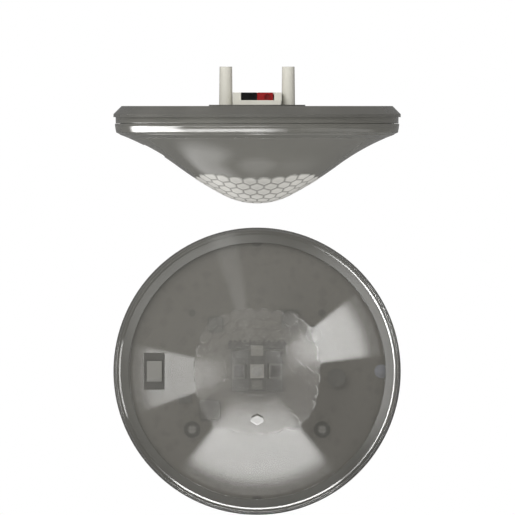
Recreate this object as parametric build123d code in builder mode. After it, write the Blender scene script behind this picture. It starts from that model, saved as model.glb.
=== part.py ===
from build123d import *
import math
import os

# Ceiling presence detector. The origin is the centre of the plate's back, on the ceiling.
# +Z points up into the ceiling, and the lens looks down along -Z. Lengths are millimetres.

os.makedirs("parts", exist_ok=True)

# Mounting plate
plate_radius = 52.0
plate_rim_chamfer = 2.95
plate_wall = 1.6
rim_wall = 0.95
lip_wall = 0.55
lip_height = 1.1
box_screw_spacing = 60.0
screw_slot_width = 4.2
screw_slot_length = 7.0
screw_pad_wall = 1.2
screw_pad_height = 0.9
back_pocket_depth = 0.6
outer_pocket_count = 24
outer_pocket_rib_share = 0.2
inner_pocket_count = 4
inner_pocket_rib_share = 0.16

# Bayonet between the plate and the detector head
hook_count = 3
hook_first_angle = 60.0
hook_thickness = 2.0
hook_stem_arc = 8.0
release_angle = 10.0
hook_foot_height = 1.3
hook_clearance = 0.35
hook_arc_clearance = 0.7

# Rear cover of the detector head
seat_gap = 0.2
lip_gap = 0.25
rear_wall = 1.6
side_height = 2.25
spigot_length = 2.2
spigot_wall = 1.4
channel_side_gap = 0.8
channel_drop = 2.3
channel_wall = 1.2
board_standoff = 0.7
hub_radius = 17.45
hub_proud = 0.45
hub_fit = 0.08
boss_radius = 3.0
boss_circle_offset = 1.6
boss_angle = 41.9
rib_thickness = 1.0
rib_depth = 1.4
rib_pitch = 30.0
ribs_per_hook = 3

# Bezel ring and lens
rear_edge_radius = 0.25
seam_gap = 0.08
bezel_proud = 0.25
bezel_wall = 1.75
bezel_side = 3.27
bezel_draft = 0.45
bezel_side_radius = 14.0
bezel_corner_radius = 0.45
bevel_width = 4.5
bevel_angle = 23.0
lens_lip = 0.95
lens_flange_width = 1.6
lens_flange_wall = 1.0
cover_fit = 0.08
lens_fit = 0.08
key_width = 2.8
key_depth = 0.7
lens_wall = 1.1
dome_depth = 35.3
dome_tip_radius = 26.0
dome_tip_arc = 27.5
dome_side_radius = 130.0
dome_side_arc = 9.0
facet_sectors = 4
facet_rows = 6
facet_row_pitch = 3.75
facet_gap = 0.2
facet_face_radius = 15.0
facet_rise = 0.12
facet_root = 0.25

# Connector block and posts
plug_pole_width = 5.75
plug_depth = 12.0
plug_height = 10.0
plug_fit = 0.1
plug_edge = 0.2
pole_gap = 0.05
plug_rib_height = 0.35
plug_rib_width = 1.2
plug_rib_drop = 1.3
bay_floor = 0.9
block_wall = 3.1
block_end_wall = 1.9
block_fit = 0.1
ledge_width = 15.8
ledge_offset = 0.7
ledge_depth = 1.6
ledge_height = 2.1
post_height = 14.26
post_spacing = 22.6
post_top_radius = 2.27
post_base_radius = 2.45
post_bore_radius = 1.3
post_bore_depth = 12.0
wing_height = 1.6
wing_width = 6.5
wing_margin = 0.6
wing_corner_radius = 2.65
pin_radius = 0.5
pin_engagement = 5.2
pin_collar_radius = 0.85
pin_collar_height = 0.35
pin_hole_fit = 0.06
solder_radius = 1.1
solder_height = 0.9

# Inside of the plug
wire_hole_radius = 0.65
wire_funnel_radius = 1.0
wire_funnel_depth = 0.8
wire_hole_x = 1.35
wire_hole_y = 2.9
test_hole_radius = 1.1
test_hole_depth = 1.4
test_hole_offset = 0.9
test_hole_drop = 1.75
plug_side_wall = 0.56
plug_end_wall = 1.2
cavity_height = 5.8
contact_plate = 0.5
contact_fit = 0.1
contact_tube_wall = 0.45
contact_height = 5.0
spring_width = 1.5
spring_thickness = 0.25
spring_length = 4.2
spring_lean = 14.0

# Main board and what stands on it
board_thickness = 1.6
board_edge_gap = 0.6
board_notch_radius = 2.5
screw_radius = 1.25
screw_thread_fit = 0.02
screw_hole_fit = 0.35
screw_bite = 3.8
screw_end_gap = 0.7
screw_tip_chamfer = 0.35
screw_head_radius = 3.0
screw_head_height = 2.4
screw_cross_length = 3.0
screw_cross_width = 0.8
screw_cross_depth = 1.0
dowel_radius = 1.2
dowel_fit = 0.1
dowel_length = 2.3
carrier_width = 18.3
carrier_depth = 14.5
carrier_height = 6.0
ridge_width = 6.2
flank_angle = 35.0
peg_radius = 0.6
peg_length = 1.3
peg_fit = 0.05
peg_places = [(1.8, -4.0), (-1.8, -4.0)]
heat_sensor_size = 5.6
heat_sensor_height = 2.9
heat_sensor_seat = 2.0
heat_sensor_corner = 0.5
lead_pitch = 1.9
lead_radius = 0.23
heat_sensor_fit = 0.1
heat_window_size = 4.2
heat_window_thickness = 0.5
light_board_width = 5.6
light_board_length = 13.6
light_board_thickness = 0.8
light_size = 5.0
light_height = 1.6
light_cup_radius = 1.9
light_cup_depth = 0.5
light_dome_rise = 0.9
brightness_sensor_width = 3.9
brightness_sensor_length = 3.2
brightness_sensor_height = 0.9
brightness_sensor_edge = 0.15
brightness_sensor_y = 4.9
receiver_radius = 2.45
receiver_base_height = 0.4
receiver_shoulder = 0.35
receiver_edge_gap = 0.25
receiver_lens_gap = 0.35
header_length = 21.0
header_width = 2.5
header_height = 3.0
header_gap = 0.7
header_pin_count = 12
header_pin_size = 0.8
ribbon_width = 4.4
ribbon_thickness = 0.3
ribbon_overlap = 1.2
ribbon_seat = 1.5
ribbon_bend = 1.2

# Programming button
button_inset = 10.4
frame_width = 7.5
frame_length = 13.3
frame_height = 3.4
frame_side_wall = 0.7
frame_end_wall = 1.4
frame_face = 0.9
button_width = 5.5
button_length = 7.5
button_fit = 0.12
button_proud = 0.6
button_slope = 1.4
button_flange = 0.6
button_flange_reach = 1.0
button_travel = 0.3
switch_size = 4.6
switch_height = 1.0
plunger_radius = 1.0
plunger_fit = 0.06
plunger_root = 0.5

# Chips and other parts soldered to the board
processor_size = 7.0
processor_leg_count = 8
processor_place = (-17.0, 14.0)
coupler_size = 5.0
coupler_leg_count = 5
coupler_place = (-15.0, -17.0)
chip_height = 1.0
chip_edge = 0.15
chip_foot = 0.15
chip_leg_height = 0.3
chip_leg_length = 0.9
chip_leg_reach = 0.45
capacitor_radius = 3.1
capacitor_height = 5.4
capacitor_base = 6.6
capacitor_base_height = 0.8
capacitor_edge = 0.4
capacitor_groove_level = 1.6
capacitor_groove_depth = 0.4
capacitor_places = [(12.1, -19.1), (20.5, -13.5)]
choke_radius = 3.4
choke_height = 3.2
choke_flange = 0.7
choke_place = (28.7, 2.3)
crystal_length = 5.0
crystal_width = 3.2
crystal_height = 0.9
crystal_corner_radius = 0.64
crystal_edge_radius = 0.22
crystal_place = (-26.0, 10.0)

# Levels and radii that follow from the sizes above
lip_bottom = -(plate_rim_chamfer + lip_height)
plate_back_radius = plate_radius - plate_rim_chamfer
lip_inner_radius = plate_radius - lip_wall
rim_slant = rim_wall * math.sqrt(2)
plate_inner_radius = plate_back_radius + plate_wall - rim_slant
lip_root = -plate_wall - (lip_inner_radius - plate_inner_radius)
hub_hole_radius = hub_radius + hub_fit

head_radius = lip_inner_radius - lip_gap
rear_top = -plate_wall - seat_gap
rear_under = rear_top - rear_wall
shoulder_radius = plate_inner_radius - seat_gap * math.tan(math.radians(45 / 2))
shoulder_bottom = rear_top - (head_radius - shoulder_radius)
rear_seam = lip_bottom - side_height
spigot_end = rear_seam - spigot_length
channel_half_width = screw_slot_length / 2 + screw_pad_wall + channel_side_gap
channel_inner = box_screw_spacing / 2 - channel_half_width
channel_outer = box_screw_spacing / 2 + channel_half_width
channel_floor = rear_top - channel_drop
channel_under = channel_floor - channel_wall
hub_inner = hub_radius - rear_wall
hub_under = hub_proud - rear_wall

bezel_top = rear_seam - seam_gap
bezel_radius = head_radius + bezel_proud
bezel_inner = bezel_radius - bezel_wall
bezel_foot_radius = bezel_radius - bezel_draft
bezel_corner = bezel_top - bezel_side
bevel_slope = math.tan(math.radians(bevel_angle))
lens_seam_radius = bezel_foot_radius - bevel_width
lens_seam = bezel_corner - bevel_width * bevel_slope
flange_radius = lens_seam_radius + lens_flange_width
flange_pocket_radius = flange_radius + cover_fit
ledge_bottom = lens_seam + lens_lip
bezel_step = bezel_top - spigot_length

spigot_radius = bezel_inner - cover_fit
spigot_inner = spigot_radius - spigot_wall
hook_radius = (channel_outer + channel_wall + spigot_inner) / 2
hook_inner = hook_radius - hook_thickness / 2
hook_outer = hook_radius + hook_thickness / 2
hook_foot_top = rear_under - seat_gap
hook_foot_bottom = hook_foot_top - hook_foot_height

board_top = channel_under - board_standoff
board_bottom = board_top - board_thickness
board_radius = spigot_inner - board_edge_gap
boss_circle = box_screw_spacing / 2 + boss_circle_offset
boss_x = boss_circle * math.cos(math.radians(boss_angle))
boss_y = boss_circle * math.sin(math.radians(boss_angle))
screw_places = [(boss_x, boss_y), (-boss_x, boss_y)]
dowel_places = [(boss_x, -boss_y), (-boss_x, -boss_y)]

plug_bottom = board_top + bay_floor
plug_top = plug_bottom + plug_height
pole_x = plug_pole_width / 2
bay_left = -plug_pole_width - plug_fit
bay_right = plug_pole_width + plug_rib_height + plug_fit
bay_half_depth = plug_depth / 2 + plug_fit
block_half_width = plug_pole_width + block_wall
block_half_depth = bay_half_depth + block_end_wall
post_x = post_spacing / 2
wing_top = hub_under - block_fit
wing_bottom = wing_top - wing_height
wing_half_length = post_x + post_base_radius + wing_margin

ridge_level = board_bottom - carrier_height
flank_drop = (carrier_width - ridge_width) / 2 * math.tan(math.radians(flank_angle))
light_board_face = ridge_level - light_board_thickness
light_face = light_board_face - light_height
switch_face = board_bottom - switch_height
frame_face_level = board_bottom - frame_height
frame_lip_level = frame_face_level + frame_face
button_x = -(board_radius - button_inset)
button_top = frame_lip_level + button_flange
button_face = frame_face_level - button_proud
receiver_x = board_radius - receiver_radius - receiver_edge_gap


def flange_face(radius):
    """Height of the lens flange's inner face at a radius."""
    return ledge_bottom + (radius - lens_seam_radius) * bevel_slope + lens_flange_wall


receiver_height = board_bottom - flange_face(receiver_x + receiver_radius) - receiver_lens_gap


def ring_sector(inner_radius, outer_radius, start_angle, arc_size):
    """Flat piece of a ring between two radii and two angles."""
    with BuildSketch(mode=Mode.PRIVATE) as sector:
        with BuildLine():
            outer_arc = CenterArc((0, 0), outer_radius, start_angle, arc_size)
            inner_arc = CenterArc((0, 0), inner_radius, start_angle, arc_size)
            Line(outer_arc @ 0, inner_arc @ 0)
            Line(outer_arc @ 1, inner_arc @ 1)
        make_face()
    return sector.sketch


def pocket_ring(inner_radius, outer_radius, count, rib_share):
    """Adds a ring of equal sectors to the open sketch, with a rib between neighbours."""
    pitch = 360 / count
    for number in range(count):
        start_angle = pitch * (number + rib_share / 2)
        add(ring_sector(inner_radius, outer_radius, start_angle, pitch * (1 - rib_share)))


hook_angles = [hook_first_angle + 360 / hook_count * number for number in range(hook_count)]

# Mounting plate: dished disc with a chamfered rim, a thin lip, screw slots and bayonet hooks
with BuildPart() as mounting_plate:
    with BuildSketch(Plane.XZ):
        with BuildLine():
            Polyline(
                (hub_hole_radius, 0),
                (plate_back_radius, 0),
                (plate_radius, -plate_rim_chamfer),
                (plate_radius, lip_bottom),
                (lip_inner_radius, lip_bottom),
                (lip_inner_radius, lip_root),
                (plate_inner_radius, -plate_wall),
                (hub_hole_radius, -plate_wall),
                close=True,
            )
        make_face()
    revolve(axis=Axis.Z)
    with BuildSketch(Plane.XY.offset(-plate_wall)):
        with PolarLocations(box_screw_spacing / 2, 4):
            SlotOverall(
                screw_slot_length + 2 * screw_pad_wall,
                screw_slot_width + 2 * screw_pad_wall,
            )
    extrude(amount=-screw_pad_height)
    with BuildSketch():
        with PolarLocations(box_screw_spacing / 2, 4):
            SlotOverall(screw_slot_length, screw_slot_width)
    extrude(amount=-(plate_wall + screw_pad_height), mode=Mode.SUBTRACT)
    with BuildSketch():
        pocket_ring(
            hook_outer + plate_wall,
            plate_back_radius - plate_wall,
            outer_pocket_count,
            outer_pocket_rib_share,
        )
        pocket_ring(
            hub_hole_radius + plate_wall,
            channel_inner - plate_wall,
            inner_pocket_count,
            inner_pocket_rib_share,
        )
    extrude(amount=-back_pocket_depth, mode=Mode.SUBTRACT)
    with BuildSketch(Plane.XY.offset(-plate_wall)):
        for angle in hook_angles:
            add(ring_sector(hook_inner, hook_outer, angle - hook_stem_arc / 2, hook_stem_arc))
    extrude(amount=hook_foot_bottom + plate_wall)
    with BuildSketch(Plane.XY.offset(hook_foot_top)):
        for angle in hook_angles:
            add(ring_sector(
                hook_inner,
                hook_outer,
                angle - hook_stem_arc / 2 - release_angle,
                hook_stem_arc + release_angle,
            ))
    extrude(amount=-hook_foot_height)
    with BuildSketch():
        for angle in hook_angles:
            add(ring_sector(
                hook_inner - hook_clearance,
                hook_outer + hook_clearance,
                angle - hook_stem_arc / 2 - release_angle,
                release_angle,
            ))
    extrude(amount=-plate_wall, mode=Mode.SUBTRACT)

mounting_plate.part.label = "mounting_plate"
export_step(mounting_plate.part, "parts/mounting_plate.step")

# Rear cover: closed back of the head, with the hub, the channel for the box screws and the spigot
with BuildPart() as rear_cover:
    with BuildSketch(Plane.XZ) as cover_section:
        with BuildLine():
            Polyline(
                (0, hub_proud),
                (hub_radius, hub_proud),
                (hub_radius, rear_top),
                (channel_inner, rear_top),
                (channel_inner, channel_floor),
                (channel_outer, channel_floor),
                (channel_outer, rear_top),
                (shoulder_radius, rear_top),
                (head_radius, shoulder_bottom),
                (head_radius, rear_seam),
                (spigot_radius, rear_seam),
                (spigot_radius, spigot_end),
                (spigot_inner, spigot_end),
                (spigot_inner, rear_under),
                (channel_outer + channel_wall, rear_under),
                (channel_outer + channel_wall, channel_under),
                (channel_inner - channel_wall, channel_under),
                (channel_inner - channel_wall, rear_under),
                (hub_inner, rear_under),
                (hub_inner, hub_under),
                (0, hub_under),
                close=True,
            )
        make_face()
        lower_edge = cover_section.vertices().sort_by_distance((head_radius, rear_seam, 0))[0]
        fillet(lower_edge, rear_edge_radius)
    revolve(axis=Axis.Z)
    with BuildSketch(Plane.XY.offset(rear_top)):
        with Locations(*screw_places, *dowel_places):
            Circle(boss_radius)
    extrude(amount=board_top - rear_top)
    with BuildSketch(Plane.XY.offset(board_top)):
        with Locations(*dowel_places):
            Circle(dowel_radius)
    extrude(amount=-dowel_length)
    with BuildSketch(Plane.XY.offset(rear_under)):
        rib_length = spigot_inner - channel_outer
        for angle in hook_angles:
            for number in range(ribs_per_hook):
                rib_angle = angle + rib_pitch * (number + 1)
                with PolarLocations(channel_outer + rib_length / 2, 1, rib_angle):
                    Rectangle(rib_length, rib_thickness)
    extrude(amount=-rib_depth)
    with BuildSketch(Plane.XY.offset(board_top)):
        with Locations(*screw_places):
            Circle(screw_radius + screw_thread_fit)
    extrude(amount=screw_bite, mode=Mode.SUBTRACT)
    with BuildSketch(Plane.XY.offset(rear_top)):
        for angle in hook_angles:
            add(ring_sector(
                hook_inner - hook_clearance,
                hook_outer + hook_clearance,
                angle - hook_stem_arc / 2 - hook_arc_clearance,
                hook_stem_arc + release_angle + 2 * hook_arc_clearance,
            ))
    extrude(amount=-rear_wall, mode=Mode.SUBTRACT)
    with BuildSketch(Plane.XY.offset(hub_proud)):
        Rectangle(2 * (block_half_width + block_fit), 2 * (block_half_depth + block_fit))
        with Locations((ledge_offset, -block_half_depth - block_fit)):
            Rectangle(
                ledge_width + 2 * block_fit,
                ledge_depth,
                align=(Align.CENTER, Align.MAX),
            )
        with Locations((post_x, 0), (-post_x, 0)):
            Circle(post_base_radius + block_fit)
    extrude(amount=-rear_wall, mode=Mode.SUBTRACT)

rear_cover.part.label = "rear_cover"
export_step(rear_cover.part, "parts/rear_cover.step")

# Connector block: open-topped bay for the plug, a low front ledge and two tapered hollow posts
with BuildPart() as connector_block:
    with BuildSketch(Plane.XZ):
        with BuildLine():
            Polyline(
                (post_x, wing_bottom),
                (post_x + post_base_radius, wing_bottom),
                (post_x + post_base_radius, hub_proud),
                (post_x + post_top_radius, post_height),
                (post_x, post_height),
                close=True,
            )
        make_face()
    revolve(axis=Axis((post_x, 0, 0), (0, 0, 1)))
    with BuildSketch(Plane.XY.offset(post_height)):
        with Locations((post_x, 0)):
            Circle(post_bore_radius)
    extrude(amount=-post_bore_depth, mode=Mode.SUBTRACT)
    mirror(about=Plane.YZ)
    with BuildSketch(Plane.XY.offset(wing_bottom)):
        RectangleRounded(2 * wing_half_length, wing_width, wing_corner_radius)
    extrude(amount=wing_height)
    with BuildSketch(Plane.XY.offset(board_top)):
        Rectangle(2 * block_half_width, 2 * block_half_depth)
    extrude(amount=plug_top - board_top)
    with BuildSketch(Plane.XY.offset(wing_bottom)):
        with Locations((ledge_offset, -block_half_depth)):
            Rectangle(ledge_width, ledge_depth, align=(Align.CENTER, Align.MAX))
    extrude(amount=ledge_height - wing_bottom)
    with BuildSketch(Plane.XY.offset(plug_top)):
        with Locations(((bay_left + bay_right) / 2, 0)):
            Rectangle(bay_right - bay_left, 2 * bay_half_depth)
    extrude(amount=plug_bottom - plug_top, mode=Mode.SUBTRACT)
    with BuildSketch(Plane.XY.offset(plug_top)):
        with Locations(((bay_left + bay_right) / 2, -bay_half_depth)):
            Rectangle(bay_right - bay_left, block_end_wall, align=(Align.CENTER, Align.MAX))
    extrude(amount=ledge_height - plug_top, mode=Mode.SUBTRACT)
    with BuildSketch(Plane.XY.offset(board_top)):
        with Locations((pole_x, 0), (-pole_x, 0)):
            Circle(pin_radius + pin_hole_fit)
    extrude(amount=bay_floor, mode=Mode.SUBTRACT)
    with BuildSketch(Plane.XY.offset(board_top)):
        with Locations((pole_x, 0), (-pole_x, 0)):
            Circle(pin_collar_radius + pin_hole_fit)
    extrude(amount=pin_collar_height + pin_hole_fit, mode=Mode.SUBTRACT)

connector_block.part.label = "connector_block"
export_step(connector_block.part, "parts/connector_block.step")

# Bus pins: two round pins with a collar on the board and a solder cone under it
with BuildPart() as bus_pins:
    with BuildSketch(Plane.XZ):
        with BuildLine():
            Polyline(
                (pole_x, plug_bottom + pin_engagement),
                (pole_x + pin_radius, plug_bottom + pin_engagement),
                (pole_x + pin_radius, board_top + pin_collar_height),
                (pole_x + pin_collar_radius, board_top + pin_collar_height),
                (pole_x + pin_collar_radius, board_top),
                (pole_x + pin_radius, board_top),
                (pole_x + pin_radius, board_bottom),
                (pole_x + solder_radius, board_bottom),
                (pole_x + pin_radius, board_bottom - solder_height),
                (pole_x, board_bottom - solder_height),
                close=True,
            )
        make_face()
    revolve(axis=Axis((pole_x, 0, 0), (0, 0, 1)))
    mirror(about=Plane.YZ)

bus_pins.part.label = "bus_pins"
export_step(bus_pins.part, "parts/bus_pins.step")


def plug_housing(centre_x):
    """One pole of the plug: wire holes on top, a test hole in front, a rib and a groove at the sides."""
    with BuildPart() as housing:
        with BuildSketch(Plane.XY.offset(plug_bottom)):
            with Locations((centre_x, 0)):
                Rectangle(plug_pole_width - pole_gap, plug_depth)
        extrude(amount=plug_height)
        chamfer(housing.faces().sort_by(Axis.Z)[-1].edges(), plug_edge)
        with BuildSketch(Plane.XZ.offset(plug_depth / 2 - block_end_wall)):
            rib_x = centre_x + (plug_pole_width - pole_gap) / 2
            with Locations((rib_x, plug_top - plug_rib_drop)):
                Rectangle(plug_rib_height, plug_rib_width, align=(Align.MIN, Align.CENTER))
        extrude(amount=-(plug_depth - 2 * block_end_wall))
        with BuildSketch(Plane.XZ.offset(plug_depth / 2 - block_end_wall + contact_fit)):
            with Locations((centre_x - plug_pole_width / 2, plug_top - plug_rib_drop)):
                Rectangle(
                    plug_rib_height + contact_fit,
                    plug_rib_width + 2 * contact_fit,
                    align=(Align.MIN, Align.CENTER),
                )
        extrude(amount=-(plug_depth - 2 * block_end_wall + 2 * contact_fit), mode=Mode.SUBTRACT)
        with BuildSketch(Plane.XY.offset(plug_bottom)):
            with Locations((centre_x, 0)):
                Rectangle(
                    plug_pole_width - 2 * plug_side_wall,
                    plug_depth - 2 * plug_end_wall,
                )
        extrude(amount=cavity_height, mode=Mode.SUBTRACT)
        with BuildSketch(Plane.XY.offset(plug_top)):
            with Locations((centre_x, 0)):
                with GridLocations(2 * wire_hole_x, 2 * wire_hole_y, 2, 2):
                    Circle(wire_hole_radius)
        extrude(amount=-(plug_height - cavity_height), mode=Mode.SUBTRACT)
        with Locations(Location((centre_x, 0, plug_top))):
            with GridLocations(2 * wire_hole_x, 2 * wire_hole_y, 2, 2):
                Cone(
                    wire_hole_radius,
                    wire_funnel_radius,
                    wire_funnel_depth,
                    align=(Align.CENTER, Align.CENTER, Align.MAX),
                    mode=Mode.SUBTRACT,
                )
        with BuildSketch(Plane.XZ.offset(plug_depth / 2)):
            with Locations((centre_x + test_hole_offset, plug_top - test_hole_drop)):
                Circle(test_hole_radius)
        extrude(amount=-test_hole_depth, mode=Mode.SUBTRACT)
    return housing


def plug_contact(centre_x):
    """Metal cage of one pole: a base plate, a tube for the pin and two upright ends."""
    half_length = plug_depth / 2 - plug_end_wall - contact_fit
    width = plug_pole_width - 2 * plug_side_wall - 2 * contact_fit
    base = plug_bottom + contact_plate
    with BuildPart() as contact:
        with BuildSketch(Plane.XY.offset(base)):
            with Locations((centre_x, 0)):
                Rectangle(width, 2 * half_length)
        extrude(amount=contact_plate)
        with BuildSketch(Plane.XY.offset(base)):
            with Locations((centre_x, half_length), (centre_x, -half_length + contact_plate)):
                Rectangle(width, contact_plate, align=(Align.CENTER, Align.MAX))
            with Locations((centre_x, 0)):
                Circle(pin_radius + pin_hole_fit + contact_tube_wall)
        extrude(amount=contact_height)
        with BuildSketch(Plane.XY.offset(base)):
            with Locations((centre_x, 0)):
                Circle(pin_radius + pin_hole_fit)
        extrude(amount=contact_height, mode=Mode.SUBTRACT)
    return contact


def plug_springs(centre_x):
    """Four leaf springs of one pole, each leaning towards the wire that it holds."""
    base = plug_bottom + 2 * contact_plate
    with BuildPart() as springs:
        for side in (1, -1):
            lean = math.radians(spring_lean * side)
            with BuildSketch(Plane.XY.offset(base)):
                with Locations((centre_x, side * (wire_hole_y + wire_hole_radius))):
                    with GridLocations(2 * wire_hole_x, 0, 2, 1):
                        Rectangle(spring_width, spring_thickness)
            extrude(amount=spring_length, dir=(0, -math.sin(lean), math.cos(lean)))
    return springs


plug_housing_black = plug_housing(-pole_x)
plug_housing_black.part.label = "plug_housing_black"
export_step(plug_housing_black.part, "parts/plug_housing_black.step")

plug_housing_red = plug_housing(pole_x)
plug_housing_red.part.label = "plug_housing_red"
export_step(plug_housing_red.part, "parts/plug_housing_red.step")

plug_contact_black = plug_contact(-pole_x)
plug_contact_black.part.label = "plug_contact_black"
export_step(plug_contact_black.part, "parts/plug_contact_black.step")

plug_contact_red = plug_contact(pole_x)
plug_contact_red.part.label = "plug_contact_red"
export_step(plug_contact_red.part, "parts/plug_contact_red.step")

plug_springs_black = plug_springs(-pole_x)
plug_springs_black.part.label = "plug_springs_black"
export_step(plug_springs_black.part, "parts/plug_springs_black.step")

plug_springs_red = plug_springs(pole_x)
plug_springs_red.part.label = "plug_springs_red"
export_step(plug_springs_red.part, "parts/plug_springs_red.step")

# Bezel ring: front half of the casing wall, bevelled towards the lens, with the seat of the lens
with BuildPart() as bezel_ring:
    with BuildSketch(Plane.XZ) as bezel_section:
        with BuildLine():
            pocket_bottom = ledge_bottom + (flange_pocket_radius - lens_seam_radius) * bevel_slope
            bulging_side = RadiusArc(
                (bezel_radius, bezel_top), (bezel_foot_radius, bezel_corner), bezel_side_radius
            )
            Polyline(
                bulging_side @ 1,
                (lens_seam_radius, lens_seam),
                (lens_seam_radius, ledge_bottom),
                (flange_pocket_radius, pocket_bottom),
                (flange_pocket_radius, bezel_step),
                (bezel_inner, bezel_step),
                (bezel_inner, bezel_top),
                bulging_side @ 0,
            )
        make_face()
        corner = bezel_section.vertices().sort_by_distance((bezel_foot_radius, bezel_corner, 0))[0]
        fillet(corner, bezel_corner_radius)
    revolve(axis=Axis.Z)
    with BuildSketch(Plane.XY.offset(bezel_step)):
        with Locations((flange_pocket_radius + cover_fit, 0)):
            Rectangle(key_depth + 2 * cover_fit, key_width, align=(Align.MAX, Align.CENTER))
    extrude(amount=flange_face(flange_radius) - lens_flange_wall - bezel_step)

bezel_ring.part.label = "bezel_ring"
export_step(bezel_ring.part, "parts/bezel_ring.step")

# Outline of the dome from its tip to its rim: two arcs bulging outwards and one curving back
lens_radius = lens_seam_radius - lens_fit
dome_tip = -(dome_depth - facet_rise)
with BuildLine(mode=Mode.PRIVATE) as dome_outline:
    tip_arc = JernArc((0, dome_tip), (1, 0), dome_tip_radius, dome_tip_arc)
    side_arc = JernArc(tip_arc @ 1, tip_arc % 1, dome_side_radius, dome_side_arc)
    skirt_arc = TangentArc(side_arc @ 1, (lens_radius, lens_seam), tangent=side_arc % 1)
dome_curve = dome_outline.wire()
sector_angle = 360 / facet_sectors
sector_stretch = sector_angle / 60


def facet(half_width):
    """Six-sided puck with a slightly domed top, whose base is sunk into the lens."""
    # rows of hexagons stand one and a half times their corner radius apart
    corner = facet_row_pitch / 1.5 - facet_gap / 2
    edge = facet_row_pitch
    edge_drop = facet_face_radius - math.sqrt(facet_face_radius**2 - edge**2)
    with BuildPart(mode=Mode.PRIVATE) as puck:
        with BuildSketch(Plane.XY.offset(-facet_root)):
            with BuildLine():
                Polyline(
                    (corner, 0),
                    (corner / 2, half_width),
                    (-corner / 2, half_width),
                    (-corner, 0),
                    (-corner / 2, -half_width),
                    (corner / 2, -half_width),
                    close=True,
                )
            make_face()
        extrude(amount=facet_root + facet_rise)
        with BuildSketch(Plane.XZ):
            with BuildLine():
                Polyline(
                    (0, facet_rise),
                    (0, -edge_drop - facet_root),
                    (edge, -edge_drop - facet_root),
                    (edge, facet_rise - edge_drop),
                )
                RadiusArc((edge, facet_rise - edge_drop), (0, facet_rise), -facet_face_radius)
            make_face()
        revolve(axis=Axis.Z, mode=Mode.INTERSECT)
    return puck.part


def facet_place(distance, lean, turn):
    """Plane on the dome, at a distance from its tip along the outline, turned about the axis."""
    point = dome_curve.position_at(distance, PositionMode.LENGTH)
    along = dome_curve.tangent_at(distance, PositionMode.LENGTH)
    place = Plane(
        origin=Vector(point.X, 0, point.Y).rotate(Axis.Z, turn),
        x_dir=Vector(along.X, 0, along.Y).rotate(Axis.Z, turn),
        z_dir=Vector(along.Y, 0, -along.X).rotate(Axis.Z, turn),
    )
    return place.rotated((0, 0, lean))


# The facets stand in equal sectors, and each row has one more in every sector than the row inside it.
# A sector is a sixth of a honeycomb, stretched to fill its share of the circle.
facets = [Location(facet_place(0, 0, 0)) * facet(facet_row_pitch / 2)]
for row in range(1, facet_rows + 1):
    row_radius = dome_curve.position_at(row * facet_row_pitch, PositionMode.LENGTH).X
    row_facet = facet(math.pi * row_radius / (facet_sectors * (row + 1)) - facet_gap / 2)
    for number in range(row + 1):
        offset = (number / (row + 1) - 0.5) / math.cos(math.radians(30))
        lean = math.degrees(math.atan(offset))
        distance = row * facet_row_pitch * math.hypot(1, offset)
        for sector in range(facet_sectors):
            place = facet_place(distance, lean, sector_angle * sector + sector_stretch * lean)
            facets.append(Location(place) * row_facet)

# Lens dome: thin shell with a flange behind the bezel, a keying notch and the facets round its tip
with BuildPart() as lens_dome:
    with BuildSketch(Plane.XZ):
        with BuildLine():
            add(dome_outline.line)
            Polyline(
                (lens_radius, lens_seam),
                (lens_radius, ledge_bottom + (lens_radius - lens_seam_radius) * bevel_slope),
                (flange_radius, flange_face(flange_radius) - lens_flange_wall),
                (flange_radius, flange_face(flange_radius)),
            )
            inner_tip = JernArc(
                (0, dome_tip + lens_wall), (1, 0), dome_tip_radius - lens_wall, dome_tip_arc
            )
            inner_side = JernArc(
                inner_tip @ 1, inner_tip % 1, dome_side_radius - lens_wall, dome_side_arc
            )
            TangentArc(
                inner_side @ 1, (flange_radius, flange_face(flange_radius)), tangent=inner_side % 1
            )
            Line(inner_tip @ 0, (0, dome_tip))
        make_face()
    revolve(axis=Axis.Z)
    with BuildSketch(Plane.XY.offset(rear_seam)):
        with Locations((flange_radius + cover_fit, 0)):
            Rectangle(
                key_depth + 2 * cover_fit,
                key_width + 2 * cover_fit,
                align=(Align.MAX, Align.CENTER),
            )
    extrude(amount=lens_seam - rear_seam, mode=Mode.SUBTRACT)
    add(facets)

lens_dome.part.label = "lens_dome"
export_step(lens_dome.part, "parts/lens_dome.step")

# Main board: round circuit board on the four bosses of the rear cover
with BuildPart() as main_board:
    with BuildSketch(Plane.XY.offset(board_top)):
        Circle(board_radius)
        with Locations((0, board_radius), (0, -board_radius)):
            Circle(board_notch_radius, mode=Mode.SUBTRACT)
        with Locations(*screw_places):
            Circle(screw_radius + screw_hole_fit, mode=Mode.SUBTRACT)
        with Locations(*dowel_places):
            Circle(dowel_radius + dowel_fit, mode=Mode.SUBTRACT)
        with Locations((pole_x, 0), (-pole_x, 0)):
            Circle(pin_radius + pin_hole_fit, mode=Mode.SUBTRACT)
    extrude(amount=-board_thickness)

main_board.part.label = "main_board"
export_step(main_board.part, "parts/main_board.step")

# Board screws: two round-headed screws with a cross slot, driven from the lens side
with BuildPart(mode=Mode.PRIVATE) as one_screw:
    with BuildSketch(Plane.XZ):
        with BuildLine():
            shank = screw_bite + board_thickness - screw_end_gap
            Polyline(
                (0, -screw_head_height),
                (0, shank),
                (screw_radius - screw_tip_chamfer, shank),
                (screw_radius, shank - screw_tip_chamfer),
                (screw_radius, 0),
                (screw_head_radius, 0),
            )
            head_curve = (screw_head_radius**2 + screw_head_height**2) / (2 * screw_head_height)
            RadiusArc((screw_head_radius, 0), (0, -screw_head_height), head_curve)
        make_face()
    revolve(axis=Axis.Z)
    with BuildSketch(Plane.XY.offset(-screw_head_height)):
        Rectangle(screw_cross_length, screw_cross_width)
        Rectangle(screw_cross_width, screw_cross_length)
    extrude(amount=screw_cross_depth, mode=Mode.SUBTRACT)

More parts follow.
